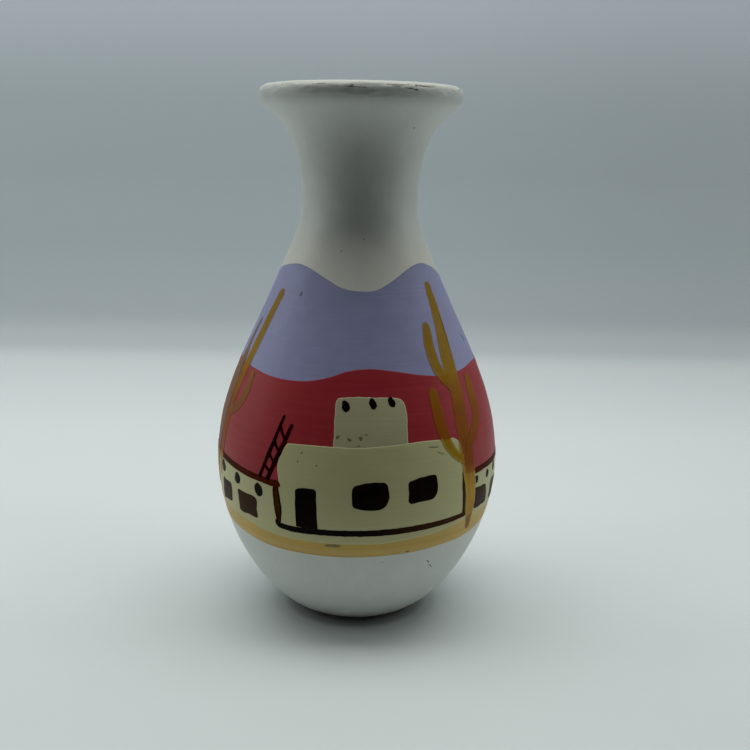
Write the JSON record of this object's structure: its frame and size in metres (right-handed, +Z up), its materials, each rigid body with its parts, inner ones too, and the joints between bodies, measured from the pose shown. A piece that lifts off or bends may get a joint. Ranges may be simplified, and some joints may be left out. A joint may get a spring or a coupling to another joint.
{
  "type": "painted pottery vase",
  "caption": "Small round-bellied pottery vase with a narrow neck and trumpet mouth, hand-painted with a desert village under a lavender sky.",
  "frame": {"origin": "centre of the foot's underside, on the surface the vase stands on", "axes": "+Z up the vase's axis; -Y towards the painted front house; +X to the right of someone facing the house"},
  "size_m": [0.0992, 0.0991, 0.18],
  "materials": {
    "fired_clay": "matte unglazed earthenware",
    "white_paint": "satin white ground coat, brushed",
    "ochre_paint": "satin brushed paint",
    "cream_paint": "satin brushed paint",
    "rose_paint": "satin brushed paint",
    "lavender_paint": "satin brushed paint",
    "umber_paint": "satin brushed paint",
    "brown_paint": "satin brushed paint",
    "maroon_paint": "satin brushed paint",
    "dark_paint": "satin brushed paint",
    "golden_paint": "satin translucent brushed paint"
  },
  "bodies": {
    "root": {"clay_body": "fired_clay", "ground_coat": "white_paint", "ochre_stripe": "ochre_paint", "adobe_coat": "cream_paint", "mesa_coat": "rose_paint", "sky_coat": "lavender_paint", "house_outline": "umber_paint", "roof_line": "brown_paint", "front_door": "maroon_paint", "front_windows": "dark_paint", "wall_windows": "brown_paint", "wall_beams": "umber_paint", "tower_beams": "umber_paint", "ladder": "maroon_paint", "saguaro_right": "golden_paint", "saguaro_left": "golden_paint", "saguaro_back": "golden_paint"}
  },
  "joints": []
}
